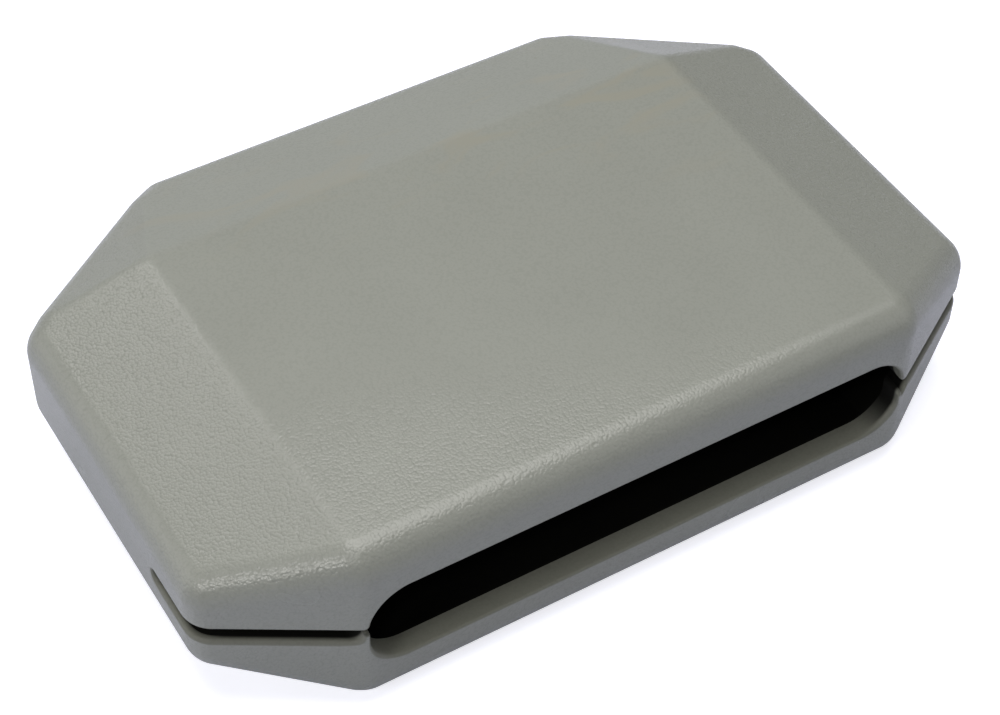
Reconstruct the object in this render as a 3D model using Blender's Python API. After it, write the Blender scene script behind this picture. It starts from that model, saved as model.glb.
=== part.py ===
"""Moulded percussion block: two mirrored plastic shells that meet at a seam, with a wide mouth along the
front, a narrow slot running on from the mouth round both front corners, and a stand-rod clamp sunk in a
bay at the rear of the underside. Metres, +Z up. The block lies on its flat underside at z = 0 with the
middle of its plan at the origin, the mouth faces -Y and the length runs along X."""

import itertools
import math

import bmesh
import bpy
import numpy as np
from mathutils import Matrix, Vector

# Plan of the block: a long octagon with small front corners and large back corners.
LENGTH = 0.165
WIDTH = 0.1115
FRONT_CORNER_X = 0.0259
FRONT_CORNER_Y = 0.0156
BACK_CORNER_X = 0.0372
BACK_CORNER_Y = 0.0261

# Heights, measured from the seam, which are the same above and below it.
HALF_HEIGHT = 0.0198
END_WALL_HALF = 0.0107
BACK_WALL_HALF = 0.0108
BACK_CREASE_Y = 0.0275

# Walls and roundings of the two mouldings.
WALL = 0.0043
EDGE_RADIUS = 0.0064
INNER_RADIUS = 0.0020
SEAM_GAP = 0.0003

# Mouth, side slots and the stop nubs at the mouth's ends.
MOUTH_HALF_LENGTH = 0.0562
MOUTH_HALF_HEIGHT = 0.0094
MOUTH_END_RADIUS = 0.0080
LIP_TIP_RADIUS = 0.0012
SLOT_HEIGHT = 0.0033
SLOT_END_Y = -0.0243
NUB_RISE = 0.0025
NUB_TOP_WIDTH = 0.0010
NUB_FILLET = 0.0025

# Tongue on the upper rim and its groove in the lower rim, behind the slots.
TONGUE_INSET = 0.0014
TONGUE_THICKNESS = 0.0014
TONGUE_DEPTH = 0.0018
TONGUE_CLEARANCE = 0.0003
TONGUE_SETBACK = 0.0030

# Bay for the rod clamp, open to the rear and to the underside.
BAY_HALF_WIDTH = 0.0170
BAY_FRONT_Y = 0.0200
BAY_CEILING_DROP = 0.0065
BAY_WALL = 0.0030

# Rod clamp: a bent steel channel, an eye bolt, a washer and a wing nut.
ROD_DIAMETER = 0.0095
ROD_CLEARANCE = 0.0009
EYE_CENTRE_Y = 0.0340
EYE_RING_WIDTH = 0.0034
EYE_THICKNESS = 0.0056
BOLT_DIAMETER = 0.0060
BOLT_TAIL = 0.0025
SHANK_UNDERSIZE = 0.00006
NECK_STEP = 0.00003
BRACKET_SHEET = 0.0020
BRACKET_HALF_WIDTH = 0.0145
BRACKET_FRONT_Y = 0.0360
BRACKET_REAR_Y = 0.0500
BRACKET_BEND_RADIUS = 0.0030
FLOOR_CLEARANCE = 0.0006
ROD_SEAT_Y = 0.0352
WASHER_DIAMETER = 0.0118
WASHER_THICKNESS = 0.0012
NUT_LENGTH = 0.0092
NUT_SEAT_DIAMETER = 0.0114
NUT_NOSE_DIAMETER = 0.0098
WING_OFFSET = 0.0072
WING_LENGTH = 0.0130
WING_WIDTH = 0.0072
WING_TILT = math.radians(35.0)
WING_THICKNESS = 0.0028

# Screws, lock washers and inserts that hold the channel.
SCREW_DIAMETER = 0.0035
SCREW_LENGTH = 0.0075
SCREW_HEAD_DIAMETER = 0.0064
SCREW_HEAD_HEIGHT = 0.0022
SCREW_EDGE_MARGIN = 0.0008
LOCK_WASHER_THICKNESS = 0.0008
INSERT_DIAMETER = 0.0064
INSERT_LENGTH = 0.0044
BOSS_WALL = 0.0020
BOSS_CAP = 0.0012
DRIVER_HOLE_DIAMETER = 0.0080
CLEARANCE = 0.0003

# Facets per full turn and per quarter of a rounded edge.
OUTER_TURN_STEPS = 32
OUTER_QUARTER_STEPS = 5
INNER_TURN_STEPS = 16
INNER_QUARTER_STEPS = 2
HOLE_SIDES = 32
EYE_SIDES = 48
SHANK_SIDES = 24
ARC_STEPS = 8
DOME_STEPS = 4

# Faces that meet at less than the sharp angle are shaded smooth; those closer than the flat angle are joined.
SHARP_ANGLE = math.radians(30.0)
FLAT_ANGLE = math.radians(0.05)

# How far cutters reach past the block.
REACH = 0.2

SEAM_Z = HALF_HEIGHT
BAY_CEILING_Z = SEAM_Z - BAY_CEILING_DROP
BRACKET_TOP_Z = BAY_CEILING_Z - CLEARANCE
BRACKET_LOW_Z = FLOOR_CLEARANCE
BOLT_Z = (BRACKET_TOP_Z + BRACKET_LOW_Z) / 2
EYE_BORE = ROD_DIAMETER + ROD_CLEARANCE
WASHER_Y = BRACKET_REAR_Y + CLEARANCE
NUT_SEAT_Y = WASHER_Y + WASHER_THICKNESS + CLEARANCE
SCREW_X = BRACKET_HALF_WIDTH - SCREW_HEAD_DIAMETER / 2 - SCREW_EDGE_MARGIN
SCREW_Y = BRACKET_REAR_Y - BRACKET_BEND_RADIUS - SCREW_HEAD_DIAMETER / 2 - CLEARANCE


def clear_scene():
    for old in list(bpy.data.objects):
        bpy.data.objects.remove(old, do_unlink=True)


def make_material(name, colour, roughness, metallic):
    material = bpy.data.materials.new(name)
    material.use_nodes = True
    shader = material.node_tree.nodes["Principled BSDF"]
    shader.inputs["Base Color"].default_value = (*colour, 1.0)
    shader.inputs["Roughness"].default_value = roughness
    shader.inputs["Metallic"].default_value = metallic
    return material


def make_object(name, bm, material=None, location=(0.0, 0.0, 0.0)):
    """Turn a bmesh into a named object. Without a material it is a cutter, which is not rendered."""
    bmesh.ops.recalc_face_normals(bm, faces=bm.faces)
    mesh = bpy.data.meshes.new(name)
    bm.to_mesh(mesh)
    bm.free()
    made = bpy.data.objects.new(name, mesh)
    made.location = location
    bpy.context.collection.objects.link(made)
    if material is None:
        made.hide_render = True
        made.display_type = "WIRE"
    else:
        mesh.materials.append(material)
        mesh.shade_smooth()
        mesh.set_sharp_from_angle(angle=SHARP_ANGLE)
    return made


def boolean(target, other, operation="DIFFERENCE"):
    modifier = target.modifiers.new(operation.lower() + "_" + other.name, "BOOLEAN")
    modifier.object = other
    modifier.operation = operation
    modifier.solver = "EXACT"


def box_bmesh(low, high):
    bm = bmesh.new()
    size = Vector(high) - Vector(low)
    middle = (Vector(high) + Vector(low)) / 2
    bmesh.ops.create_cube(bm, size=1.0, matrix=Matrix.Translation(middle) @ Matrix.Diagonal((*size, 1.0)))
    return bm


def prism_bmesh(outline, direction):
    """Extrude a closed flat outline of 3-D points along a direction."""
    bm = bmesh.new()
    face = bm.faces.new([bm.verts.new(point) for point in outline])
    grown = bmesh.ops.extrude_face_region(bm, geom=[face])
    moved = [item for item in grown["geom"] if isinstance(item, bmesh.types.BMVert)]
    bmesh.ops.translate(bm, verts=moved, vec=Vector(direction))
    return bm


def cylinder_bmesh(diameter, start, end, sides=HOLE_SIDES, end_diameter=None):
    """A round bar from start to end, tapered when end_diameter is given."""
    bm = bmesh.new()
    start = Vector(start)
    end = Vector(end)
    along = end - start
    turn = along.to_track_quat("Z", "Y").to_matrix().to_4x4()
    place = Matrix.Translation((start + end) / 2) @ turn
    far = diameter if end_diameter is None else end_diameter
    bmesh.ops.create_cone(bm, cap_ends=True, segments=sides, radius1=diameter / 2, radius2=far / 2,
                          depth=along.length, matrix=place)
    return bm


def merged(parts):
    """Join separate bmeshes into one that holds them side by side."""
    total = bmesh.new()
    for bm in parts:
        piece = bpy.data.meshes.new("piece")
        bm.to_mesh(piece)
        bm.free()
        total.from_mesh(piece)
        bpy.data.meshes.remove(piece)
    return total


def arc(centre, radius, start, end, steps=ARC_STEPS):
    """Points of a flat arc, both ends included, angles in degrees."""
    angles = np.radians(np.linspace(start, end, steps + 1))
    return [(centre[0] + radius * math.cos(t), centre[1] + radius * math.sin(t)) for t in angles]


def plan_walls():
    """Outward normal and offset of the eight upright walls."""
    half_x = LENGTH / 2
    half_y = WIDTH / 2
    walls = [((0, 1), half_y), ((0, -1), half_y)]
    for side in (1, -1):
        walls.append(((side, 0), half_x))
        for corner_x, corner_y, facing in ((FRONT_CORNER_X, FRONT_CORNER_Y, -1),
                                           (BACK_CORNER_X, BACK_CORNER_Y, 1)):
            normal = np.array((side * corner_y, facing * corner_x)) / math.hypot(corner_x, corner_y)
            on_wall = np.array((side * half_x, facing * (half_y - corner_y)))
            walls.append((tuple(normal), float(normal @ on_wall)))
    return walls


def body_planes():
    """Outward normal and offset of every face of the unrounded block, with the seam at z = 0."""
    half_x = LENGTH / 2
    half_y = WIDTH / 2
    crease_x = half_x - FRONT_CORNER_X
    planes = [(np.array((nx, ny, 0.0)), offset) for (nx, ny), offset in plan_walls()]

    def add(normal, point):
        unit = np.array(normal, dtype=float)
        unit /= np.linalg.norm(unit)
        planes.append((unit, float(unit @ np.array(point))))

    apex = np.array((crease_x, BACK_CREASE_Y, HALF_HEIGHT))
    end_corner = np.array((half_x, half_y - BACK_CORNER_Y, END_WALL_HALF))
    back_corner = np.array((half_x - BACK_CORNER_X, half_y, BACK_WALL_HALF))
    corner_normal = np.cross(end_corner - apex, back_corner - apex)
    end_fall = (HALF_HEIGHT - END_WALL_HALF) / FRONT_CORNER_X
    back_fall = (HALF_HEIGHT - BACK_WALL_HALF) / (half_y - BACK_CREASE_Y)
    for up in (1, -1):
        add((0, 0, up), (0, 0, up * HALF_HEIGHT))
        add((0, back_fall, up), (0, BACK_CREASE_Y, up * HALF_HEIGHT))
        for side in (1, -1):
            flip = np.array((side, 1, up))
            add((side * end_fall, 0, up), apex * flip)
            add(corner_normal * flip, apex * flip)
    return planes


def ball_points(radius, turn, quarter):
    """Points of a ball with its poles on Z."""
    points = [(0.0, 0.0, radius), (0.0, 0.0, -radius)]
    for ring in range(1 - quarter, quarter):
        latitude = math.pi / 2 * ring / quarter
        for step in range(turn):
            longitude = 2 * math.pi * step / turn
            points.append((radius * math.cos(latitude) * math.cos(longitude),
                           radius * math.cos(latitude) * math.sin(longitude),
                           radius * math.sin(latitude)))
    return np.array(points)


def rounded_body(inset, radius, turn, quarter):
    """The block's faces moved in by inset, with every edge rounded: the hull of a ball at each corner."""
    ball = ball_points(radius, turn, quarter)
    planes = [(n, d - inset - float((ball @ n).max())) for n, d in body_planes()]
    normals = np.array([n for n, d in planes])
    offsets = np.array([d for n, d in planes])
    corners = {}
    for trio in itertools.combinations(range(len(planes)), 3):
        three = normals[list(trio)]
        if abs(np.linalg.det(three)) < 1e-6:
            continue
        point = np.linalg.solve(three, offsets[list(trio)])
        if np.all(normals @ point <= offsets + 1e-8):
            corners[tuple(np.round(point, 6))] = point
    bm = bmesh.new()
    for point in corners.values():
        for offset in ball:
            bm.verts.new(point + offset + np.array((0.0, 0.0, SEAM_Z)))
    hull = bmesh.ops.convex_hull(bm, input=bm.verts)
    inside = {item for item in hull["geom_interior"] + hull["geom_unused"]
              if isinstance(item, bmesh.types.BMVert)}
    bmesh.ops.delete(bm, geom=list(inside), context="VERTS")
    bmesh.ops.dissolve_limit(bm, angle_limit=FLAT_ANGLE, verts=bm.verts, edges=bm.edges)
    return bm


def plan_outline(inset):
    """Corners of the plan octagon moved in by inset, anticlockwise."""
    walls = sorted(plan_walls(), key=lambda wall: math.atan2(wall[0][1], wall[0][0]))
    corners = []
    for (first, d1), (second, d2) in zip(walls, walls[1:] + walls[:1]):
        corners.append(np.linalg.solve(np.array((first, second)), np.array((d1 - inset, d2 - inset))))
    return corners


def rim_ring(inset, thickness, low_z, high_z, front_y):
    """A strip that follows the wall round the ends and the back, from one slot's end to the other."""
    def slab(distance, name):
        outline = [(x, y, low_z) for x, y in plan_outline(distance)]
        return make_object(name, prism_bmesh(outline, (0, 0, high_z - low_z)))

    ring = slab(inset, "rim_ring_outside")
    core = slab(inset + thickness, "rim_ring_core")
    front = make_object("rim_ring_front", box_bmesh((-REACH, -REACH, -REACH), (REACH, front_y, REACH)))
    boolean(ring, core)
    boolean(ring, front)
    return ring


def seam_space(up):
    """The space that a shell leaves free at the seam: up is 1 for the upper shell, -1 for the lower."""
    slot = SLOT_HEIGHT / 2
    gap = SEAM_GAP / 2
    rise = slot - gap
    profile = [(-REACH, -REACH), (REACH, -REACH), (REACH, gap), (SLOT_END_Y, gap)]
    profile += arc((SLOT_END_Y - rise, gap), rise, 0.0, 90.0)[1:]
    profile.append((-REACH, slot))
    outline = [(-REACH, y, SEAM_Z + up * z) for y, z in profile]
    return make_object("seam_space", prism_bmesh(outline, (2 * REACH, 0, 0)))


def stop_nub(side):
    """Profile of one stop nub at the mouth's end, as a bar through the front wall."""
    slot = SLOT_HEIGHT / 2
    foot = MOUTH_HALF_LENGTH + NUB_TOP_WIDTH
    top = NUB_RISE - slot
    curve = arc((foot + NUB_FILLET, NUB_FILLET - slot), NUB_FILLET, 270.0, 180.0)
    profile = [(MOUTH_HALF_LENGTH - MOUTH_END_RADIUS, -WALL), (foot + NUB_FILLET, -WALL)]
    profile += curve
    if top > NUB_FILLET - slot:
        profile.append((foot, top))
    profile.append((MOUTH_HALF_LENGTH - MOUTH_END_RADIUS, top))
    outline = [(side * x, -REACH, SEAM_Z + z) for x, z in profile]
    return prism_bmesh(outline, (0, REACH - WIDTH / 2 + 2 * WALL, 0))


def mouth_cutter():
    """The mouth: a long opening with rounded ends, through the front wall only. Its sides flare above the
    slots, so that the tips of the upper lip are rounded."""
    flat_x = MOUTH_HALF_LENGTH - MOUTH_END_RADIUS
    flat_z = MOUTH_HALF_HEIGHT - MOUTH_END_RADIUS
    slot = SLOT_HEIGHT / 2
    tip_x = MOUTH_HALF_LENGTH + LIP_TIP_RADIUS
    tip_z = slot + LIP_TIP_RADIUS
    flare_end = math.degrees(math.asin((tip_z - flat_z) / MOUTH_END_RADIUS))
    right = arc((flat_x, -flat_z), MOUTH_END_RADIUS, -90.0, 0.0)
    right += [(MOUTH_HALF_LENGTH, slot - SEAM_GAP), (tip_x, slot - SEAM_GAP)]
    right += arc((tip_x, tip_z), LIP_TIP_RADIUS, 270.0, 180.0)
    right += arc((flat_x, flat_z), MOUTH_END_RADIUS, flare_end, 90.0)
    profile = right + [(-x, z) for x, z in reversed(right)]
    outline = [(x, -WIDTH / 2 - WALL, SEAM_Z + z) for x, z in profile]
    return make_object("mouth_cutter", prism_bmesh(outline, (0, 3 * WALL, 0)))


def screw_places():
    return [(side * SCREW_X, SCREW_Y) for side in (-1, 1)]


def upper_shell(plastic, mouth):
    """Upper moulding: an upside-down bowl with the struck top, and a tongue on its rim behind the slots."""
    shell = make_object("upper_shell", rounded_body(
        0.0, EDGE_RADIUS, OUTER_TURN_STEPS, OUTER_QUARTER_STEPS), plastic)
    cavity = make_object("upper_cavity", rounded_body(
        WALL, INNER_RADIUS, INNER_TURN_STEPS, INNER_QUARTER_STEPS))
    tongue = rim_ring(TONGUE_INSET, TONGUE_THICKNESS, SEAM_Z - TONGUE_DEPTH, SEAM_Z + WALL / 2,
                      SLOT_END_Y + TONGUE_SETBACK)
    boolean(shell, seam_space(1))
    boolean(shell, cavity)
    boolean(shell, mouth)
    boolean(shell, tongue, "UNION")
    return shell


def lower_shell(plastic, mouth):
    """Lower moulding: the mirrored bowl, with stop nubs, a groove for the tongue and the clamp's bay."""
    shell = make_object("lower_shell", rounded_body(
        0.0, EDGE_RADIUS, OUTER_TURN_STEPS, OUTER_QUARTER_STEPS), plastic)
    space = seam_space(-1)
    nubs = make_object("stop_nubs", merged([stop_nub(-1), stop_nub(1)]))
    boolean(space, nubs)
    cavity = make_object("lower_cavity", rounded_body(
        WALL, INNER_RADIUS, INNER_TURN_STEPS, INNER_QUARTER_STEPS))
    bay_block = make_object("bay_block", box_bmesh(
        (-BAY_HALF_WIDTH - BAY_WALL, BAY_FRONT_Y - BAY_WALL, -REACH),
        (BAY_HALF_WIDTH + BAY_WALL, REACH, BAY_CEILING_Z + BAY_WALL)))
    boss_top = BAY_CEILING_Z + INSERT_LENGTH + CLEARANCE + BOSS_CAP
    boss_diameter = INSERT_DIAMETER + 2 * CLEARANCE + 2 * BOSS_WALL
    bosses = make_object("insert_bosses", merged(
        [cylinder_bmesh(boss_diameter, (x, y, BAY_CEILING_Z), (x, y, boss_top)) for x, y in screw_places()]))
    boolean(cavity, bay_block)
    boolean(cavity, bosses)
    groove = rim_ring(TONGUE_INSET - TONGUE_CLEARANCE, TONGUE_THICKNESS + 2 * TONGUE_CLEARANCE,
                      SEAM_Z - TONGUE_DEPTH - TONGUE_CLEARANCE, SEAM_Z + WALL,
                      SLOT_END_Y + TONGUE_SETBACK - TONGUE_CLEARANCE)
    bay = make_object("clamp_bay", box_bmesh((-BAY_HALF_WIDTH, BAY_FRONT_Y, -REACH),
                                             (BAY_HALF_WIDTH, REACH, BAY_CEILING_Z)))
    hole_top = BAY_CEILING_Z + INSERT_LENGTH + CLEARANCE
    holes = make_object("insert_holes", merged(
        [cylinder_bmesh(INSERT_DIAMETER + 2 * CLEARANCE, (x, y, BAY_CEILING_Z - WALL), (x, y, hole_top))
         for x, y in screw_places()]))
    boolean(shell, space)
    boolean(shell, cavity)
    boolean(shell, mouth)
    boolean(shell, groove)
    boolean(shell, bay)
    boolean(shell, holes)
    return shell


def clamp_bracket(steel):
    """Bent channel: a back plate for the bolt between two flanges whose front edges have V notches."""
    rear = BRACKET_REAR_Y
    low = BRACKET_LOW_Z
    high = BRACKET_TOP_Z
    bend = BRACKET_BEND_RADIUS
    inner = bend - BRACKET_SHEET
    profile = [(BRACKET_FRONT_Y, low)] + arc((rear - bend, low + bend), bend, 270, 360)
    profile += arc((rear - bend, high - bend), bend, 0, 90) + [(BRACKET_FRONT_Y, high)]
    profile += [(BRACKET_FRONT_Y, high - BRACKET_SHEET)] + arc((rear - bend, high - bend), inner, 90, 0)
    profile += arc((rear - bend, low + bend), inner, 360, 270) + [(BRACKET_FRONT_Y, low + BRACKET_SHEET)]
    outline = [(-BRACKET_HALF_WIDTH, y, z) for y, z in profile]
    bracket = make_object("clamp_bracket", prism_bmesh(outline, (2 * BRACKET_HALF_WIDTH, 0, 0)), steel)
    apex_y = ROD_SEAT_Y + ROD_DIAMETER / math.sqrt(2.0)
    reach = apex_y - BRACKET_FRONT_Y + EYE_RING_WIDTH
    notch = [(0, apex_y, -WALL), (-reach, apex_y - reach, -WALL), (reach, apex_y - reach, -WALL)]
    boolean(bracket, make_object("v_notch", prism_bmesh(notch, (0, 0, HALF_HEIGHT + WALL))))
    hole = BOLT_DIAMETER + 2 * CLEARANCE
    boolean(bracket, make_object("bolt_hole", cylinder_bmesh(
        hole, (0, rear - 2 * bend, BOLT_Z), (0, rear + bend, BOLT_Z))))
    middle = (low + high) / 2
    holes = []
    for x, y in screw_places():
        holes.append(cylinder_bmesh(SCREW_DIAMETER + 2 * CLEARANCE, (x, y, middle), (x, y, high + WALL)))
        holes.append(cylinder_bmesh(DRIVER_HOLE_DIAMETER, (x, y, low - WALL), (x, y, middle - CLEARANCE)))
    boolean(bracket, make_object("bracket_holes", merged(holes)))
    return bracket


def bracket_fasteners(steel, brass):
    """Two screws with lock washers, driven up through the top flange into brass inserts."""
    washer_low = BRACKET_TOP_Z - BRACKET_SHEET - CLEARANCE - LOCK_WASHER_THICKNESS
    head_top = washer_low - CLEARANCE
    dome = SCREW_HEAD_HEIGHT / 2
    profile = [(0.0, SCREW_LENGTH), (SCREW_DIAMETER / 2, SCREW_LENGTH), (SCREW_DIAMETER / 2, 0.0),
               (SCREW_HEAD_DIAMETER / 2, 0.0)]
    profile += arc((SCREW_HEAD_DIAMETER / 2 - dome, -dome), dome, 0, -90, DOME_STEPS)
    profile.append((0.0, -SCREW_HEAD_HEIGHT))
    hole = SCREW_DIAMETER + 2 * CLEARANCE
    for name, (x, y) in zip(("left", "right"), screw_places()):
        make_object("bracket_screw_" + name, turned_bmesh(profile), steel, (x, y, head_top))
        make_object("lock_washer_" + name, ring_bmesh(
            SCREW_HEAD_DIAMETER, hole, (0, 0, 0), (0, 0, LOCK_WASHER_THICKNESS)), steel, (x, y, washer_low))
        make_object("threaded_insert_" + name, ring_bmesh(
            INSERT_DIAMETER, hole, (0, 0, 0), (0, 0, INSERT_LENGTH)), brass, (x, y, BAY_CEILING_Z))


def turned_bmesh(profile, sides=HOLE_SIDES):
    """Turn a profile of (radius, z) points about the Z axis. Points on the axis become poles."""
    bm = bmesh.new()
    rings = []
    for radius, z in profile:
        if radius == 0.0:
            rings.append([bm.verts.new((0.0, 0.0, z))])
            continue
        rings.append([bm.verts.new((radius * math.cos(2 * math.pi * k / sides),
                                    radius * math.sin(2 * math.pi * k / sides), z)) for k in range(sides)])
    for first, second in zip(rings, rings[1:]):
        for k in range(sides):
            quad = [first[k % len(first)], first[(k + 1) % len(first)],
                    second[(k + 1) % len(second)], second[k % len(second)]]
            bm.faces.new(list(dict.fromkeys(quad)))
    return bm


def ring_bmesh(outside, inside, start, end, sides=HOLE_SIDES):
    """A round washer or tube from start to end."""
    bm = bmesh.new()
    start = Vector(start)
    along = Vector(end) - start
    turn = along.to_track_quat("Z", "Y").to_matrix().to_4x4()
    place = Matrix.Translation(start) @ turn
    loops = []
    for radius, height in ((outside / 2, 0.0), (outside / 2, along.length),
                           (inside / 2, along.length), (inside / 2, 0.0)):
        loops.append([bm.verts.new(place @ Vector((radius * math.cos(2 * math.pi * k / sides),
                                                   radius * math.sin(2 * math.pi * k / sides), height)))
                      for k in range(sides)])
    for first, second in zip(loops, loops[1:] + loops[:1]):
        for k in range(sides):
            bm.faces.new((first[k], first[(k + 1) % sides], second[(k + 1) % sides], second[k]))
    return bm


def eye_bolt(steel):
    """Forged eye with an upright bore for the rod and a threaded shank to the rear. Its origin is the eye."""
    outside = EYE_BORE + 2 * EYE_RING_WIDTH
    half = EYE_THICKNESS / 2
    shank_end = NUT_SEAT_Y + NUT_LENGTH + BOLT_TAIL - EYE_CENTRE_Y
    bolt = make_object("eye_bolt", cylinder_bmesh(outside, (0, 0, -half), (0, 0, half), EYE_SIDES), steel,
                       (0.0, EYE_CENTRE_Y, BOLT_Z))
    neck_start = EYE_BORE / 2 + EYE_RING_WIDTH / 2
    neck_end = outside / 2 + EYE_RING_WIDTH / 2
    neck = make_object("eye_neck", cylinder_bmesh(
        EYE_THICKNESS + BOLT_DIAMETER / 2, (0, neck_start, 0), (0, neck_end, 0), SHANK_SIDES,
        BOLT_DIAMETER))
    trim = make_object("eye_neck_trim", box_bmesh((-REACH, -REACH, NECK_STEP - half),
                                                  (REACH, REACH, half - NECK_STEP)))
    boolean(neck, trim, "INTERSECT")
    shank = make_object("eye_shank", cylinder_bmesh(
        BOLT_DIAMETER - SHANK_UNDERSIZE, (0, neck_start, 0), (0, shank_end, 0), SHANK_SIDES))
    bore = make_object("eye_bore", cylinder_bmesh(
        EYE_BORE, (0, 0, -EYE_THICKNESS), (0, 0, EYE_THICKNESS), EYE_SIDES))
    for helper in (neck, trim, shank, bore):
        helper.location = bolt.location
    boolean(bolt, neck, "UNION")
    boolean(bolt, shank, "UNION")
    boolean(bolt, bore)
    return bolt


def wing_nut(steel):
    """Wing nut on the bolt behind the bracket: a tapered hub with two round wings. Its origin is its seat."""
    nut = make_object("wing_nut", cylinder_bmesh(
        NUT_SEAT_DIAMETER, (0, 0, 0), (0, NUT_LENGTH, 0), HOLE_SIDES, NUT_NOSE_DIAMETER), steel,
        (0.0, NUT_SEAT_Y, BOLT_Z))
    half = WING_THICKNESS / 2
    for side, name in ((-1, "wing_left"), (1, "wing_right")):
        outline = []
        for step in range(HOLE_SIDES):
            turn = 2 * math.pi * step / HOLE_SIDES
            along = WING_LENGTH / 2 * math.cos(turn)
            across = WING_WIDTH / 2 * math.sin(turn)
            x = WING_OFFSET + along * math.cos(WING_TILT) - across * math.sin(WING_TILT)
            y = NUT_LENGTH + along * math.sin(WING_TILT) + across * math.cos(WING_TILT)
            outline.append((side * x, y, -half))
        wing = make_object(name, prism_bmesh(outline, (0, 0, WING_THICKNESS)))
        wing.location = nut.location
        boolean(nut, wing, "UNION")
    bore_end = 2 * NUT_LENGTH + WING_LENGTH
    bore = make_object("nut_bore", cylinder_bmesh(
        BOLT_DIAMETER + 2 * CLEARANCE, (0, -NUT_LENGTH, 0), (0, bore_end, 0), SHANK_SIDES))
    bore.location = nut.location
    boolean(nut, bore)
    return nut


def plain_washer(steel):
    """Washer between the bracket and the wing nut."""
    return make_object("plain_washer", ring_bmesh(
        WASHER_DIAMETER, BOLT_DIAMETER + 2 * CLEARANCE, (0, 0, 0), (0, WASHER_THICKNESS, 0)), steel,
        (0.0, WASHER_Y, BOLT_Z))


clear_scene()
grey_plastic = make_material("grey_plastic", (0.29, 0.30, 0.265), 0.45, 0.0)
bright_steel = make_material("bright_steel", (0.62, 0.62, 0.60), 0.30, 1.0)
yellow_brass = make_material("yellow_brass", (0.72, 0.53, 0.24), 0.35, 1.0)
mouth_opening = mouth_cutter()
upper_shell(grey_plastic, mouth_opening)
lower_shell(grey_plastic, mouth_opening)
clamp_bracket(bright_steel)
bracket_fasteners(bright_steel, yellow_brass)
eye_bolt(bright_steel)
plain_washer(bright_steel)
wing_nut(bright_steel)
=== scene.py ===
import itertools
import math

import bmesh
import bpy
import numpy as np
from mathutils import Matrix, Vector


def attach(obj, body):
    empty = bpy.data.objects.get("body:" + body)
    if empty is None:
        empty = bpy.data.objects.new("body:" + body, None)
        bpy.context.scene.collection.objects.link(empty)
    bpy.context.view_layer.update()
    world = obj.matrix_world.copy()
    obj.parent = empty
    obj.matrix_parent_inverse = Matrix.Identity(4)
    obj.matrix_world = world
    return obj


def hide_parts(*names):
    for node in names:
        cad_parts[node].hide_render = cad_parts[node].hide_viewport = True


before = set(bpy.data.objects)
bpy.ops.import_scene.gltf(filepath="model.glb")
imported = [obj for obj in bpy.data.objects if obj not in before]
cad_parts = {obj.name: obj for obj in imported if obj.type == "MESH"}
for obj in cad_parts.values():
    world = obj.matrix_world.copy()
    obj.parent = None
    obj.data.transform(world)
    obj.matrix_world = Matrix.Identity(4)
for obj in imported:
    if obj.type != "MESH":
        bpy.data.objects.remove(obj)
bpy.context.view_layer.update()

# Lower shell: one half of the block, a bowl moulded from grey plastic with a fine leather grain outside. It
# has the lower lip of the mouth, a stop nub at each end of that lip, the groove for the upper shell's tongue,
# and a bay at the rear of the underside for the rod clamp, with a boss over it for each screw.
length, width, half_height = 0.165, 0.1115, 0.0198
front_corner, back_corner = (0.0259, 0.0156), (0.0372, 0.0261)
end_wall_half, back_wall_half, back_crease_y = 0.0107, 0.0108, 0.0275
wall = 0.0043
through_wall, past_wall = 1.3 * wall, 1.4 * wall
seam_z, hairline_half = half_height, 0.00002
edge_radius, inner_radius = 0.0064, 0.0020
edge_steps, inner_steps = (96, 18), (32, 6)
mouth_half_length, mouth_half_height, mouth_end_radius = 0.0562, 0.0094, 0.0080
slot_half, slot_end_y, slot_turn_in, slot_tip_radius = 0.00165, -0.0243, 0.016, 0.0012
nub_width, nub_fillet, nub_set_back, nub_dip, nub_worn = 0.0010, 0.0022, 0.0014, 0.0008, 0.0024
nub_clear, nub_marks = 0.0035, (-0.0045, 0.0015, 0.0035, 0.0070)
upper_lip_radius, mouth_lip_radius, nub_lip_radius = 0.0006, 0.0005, 0.0004
slot_lip_radius, slot_end_lip_radius, bay_lip_radius = 0.0011, 0.0005, 0.0004
lip_marks, lip_fade, lip_first_turn, lip_steps = (-0.005, 0.0, 0.004, 0.009), 0.004, 70.0, 6
tongue_inset, tongue_thick, tongue_deep, tongue_play = 0.0014, 0.0014, 0.0018, 0.0003
tongue_front_y = slot_end_y + 0.0030
bay_half_width, bay_front_y, bay_ceiling_z, bay_wall = 0.0170, 0.0200, 0.0133, 0.0030
screw_places = ((-0.0105, 0.0435), (0.0105, 0.0435))
insert_hole, insert_deep, boss_diameter, boss_cap = 0.0070, 0.0047, 0.0110, 0.0012
far = 0.2
OUTSIDE, RIM, INSIDE = 0, 1, 2


def node(tree, kind, inputs=None, **settings):
    """Add a node to a tree, with its settings, and its inputs as values or as links from other sockets."""
    made = tree.nodes.new(kind)
    for key, value in settings.items():
        setattr(made, key, value)
    for key, value in (inputs or {}).items():
        if isinstance(value, bpy.types.NodeSocket):
            tree.links.new(value, made.inputs[key])
        else:
            made.inputs[key].default_value = value
    return made


def sum_of(tree, first, second, operation="ADD", clamp=False):
    """A Math node's result; either side may be a number or a socket."""
    made = node(tree, "ShaderNodeMath", {0: first, 1: second}, operation=operation, use_clamp=clamp)
    return made.outputs[0]


def vector_of(tree, operation, inputs):
    """A Vector Math node's result."""
    return node(tree, "ShaderNodeVectorMath", inputs, operation=operation).outputs[0]


def noise(tree, place, scale, detail, **more):
    """The outputs of a noise texture over a place."""
    inputs = {"Vector": place, "Scale": scale, "Detail": detail, **more}
    return node(tree, "ShaderNodeTexNoise", inputs).outputs


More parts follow.
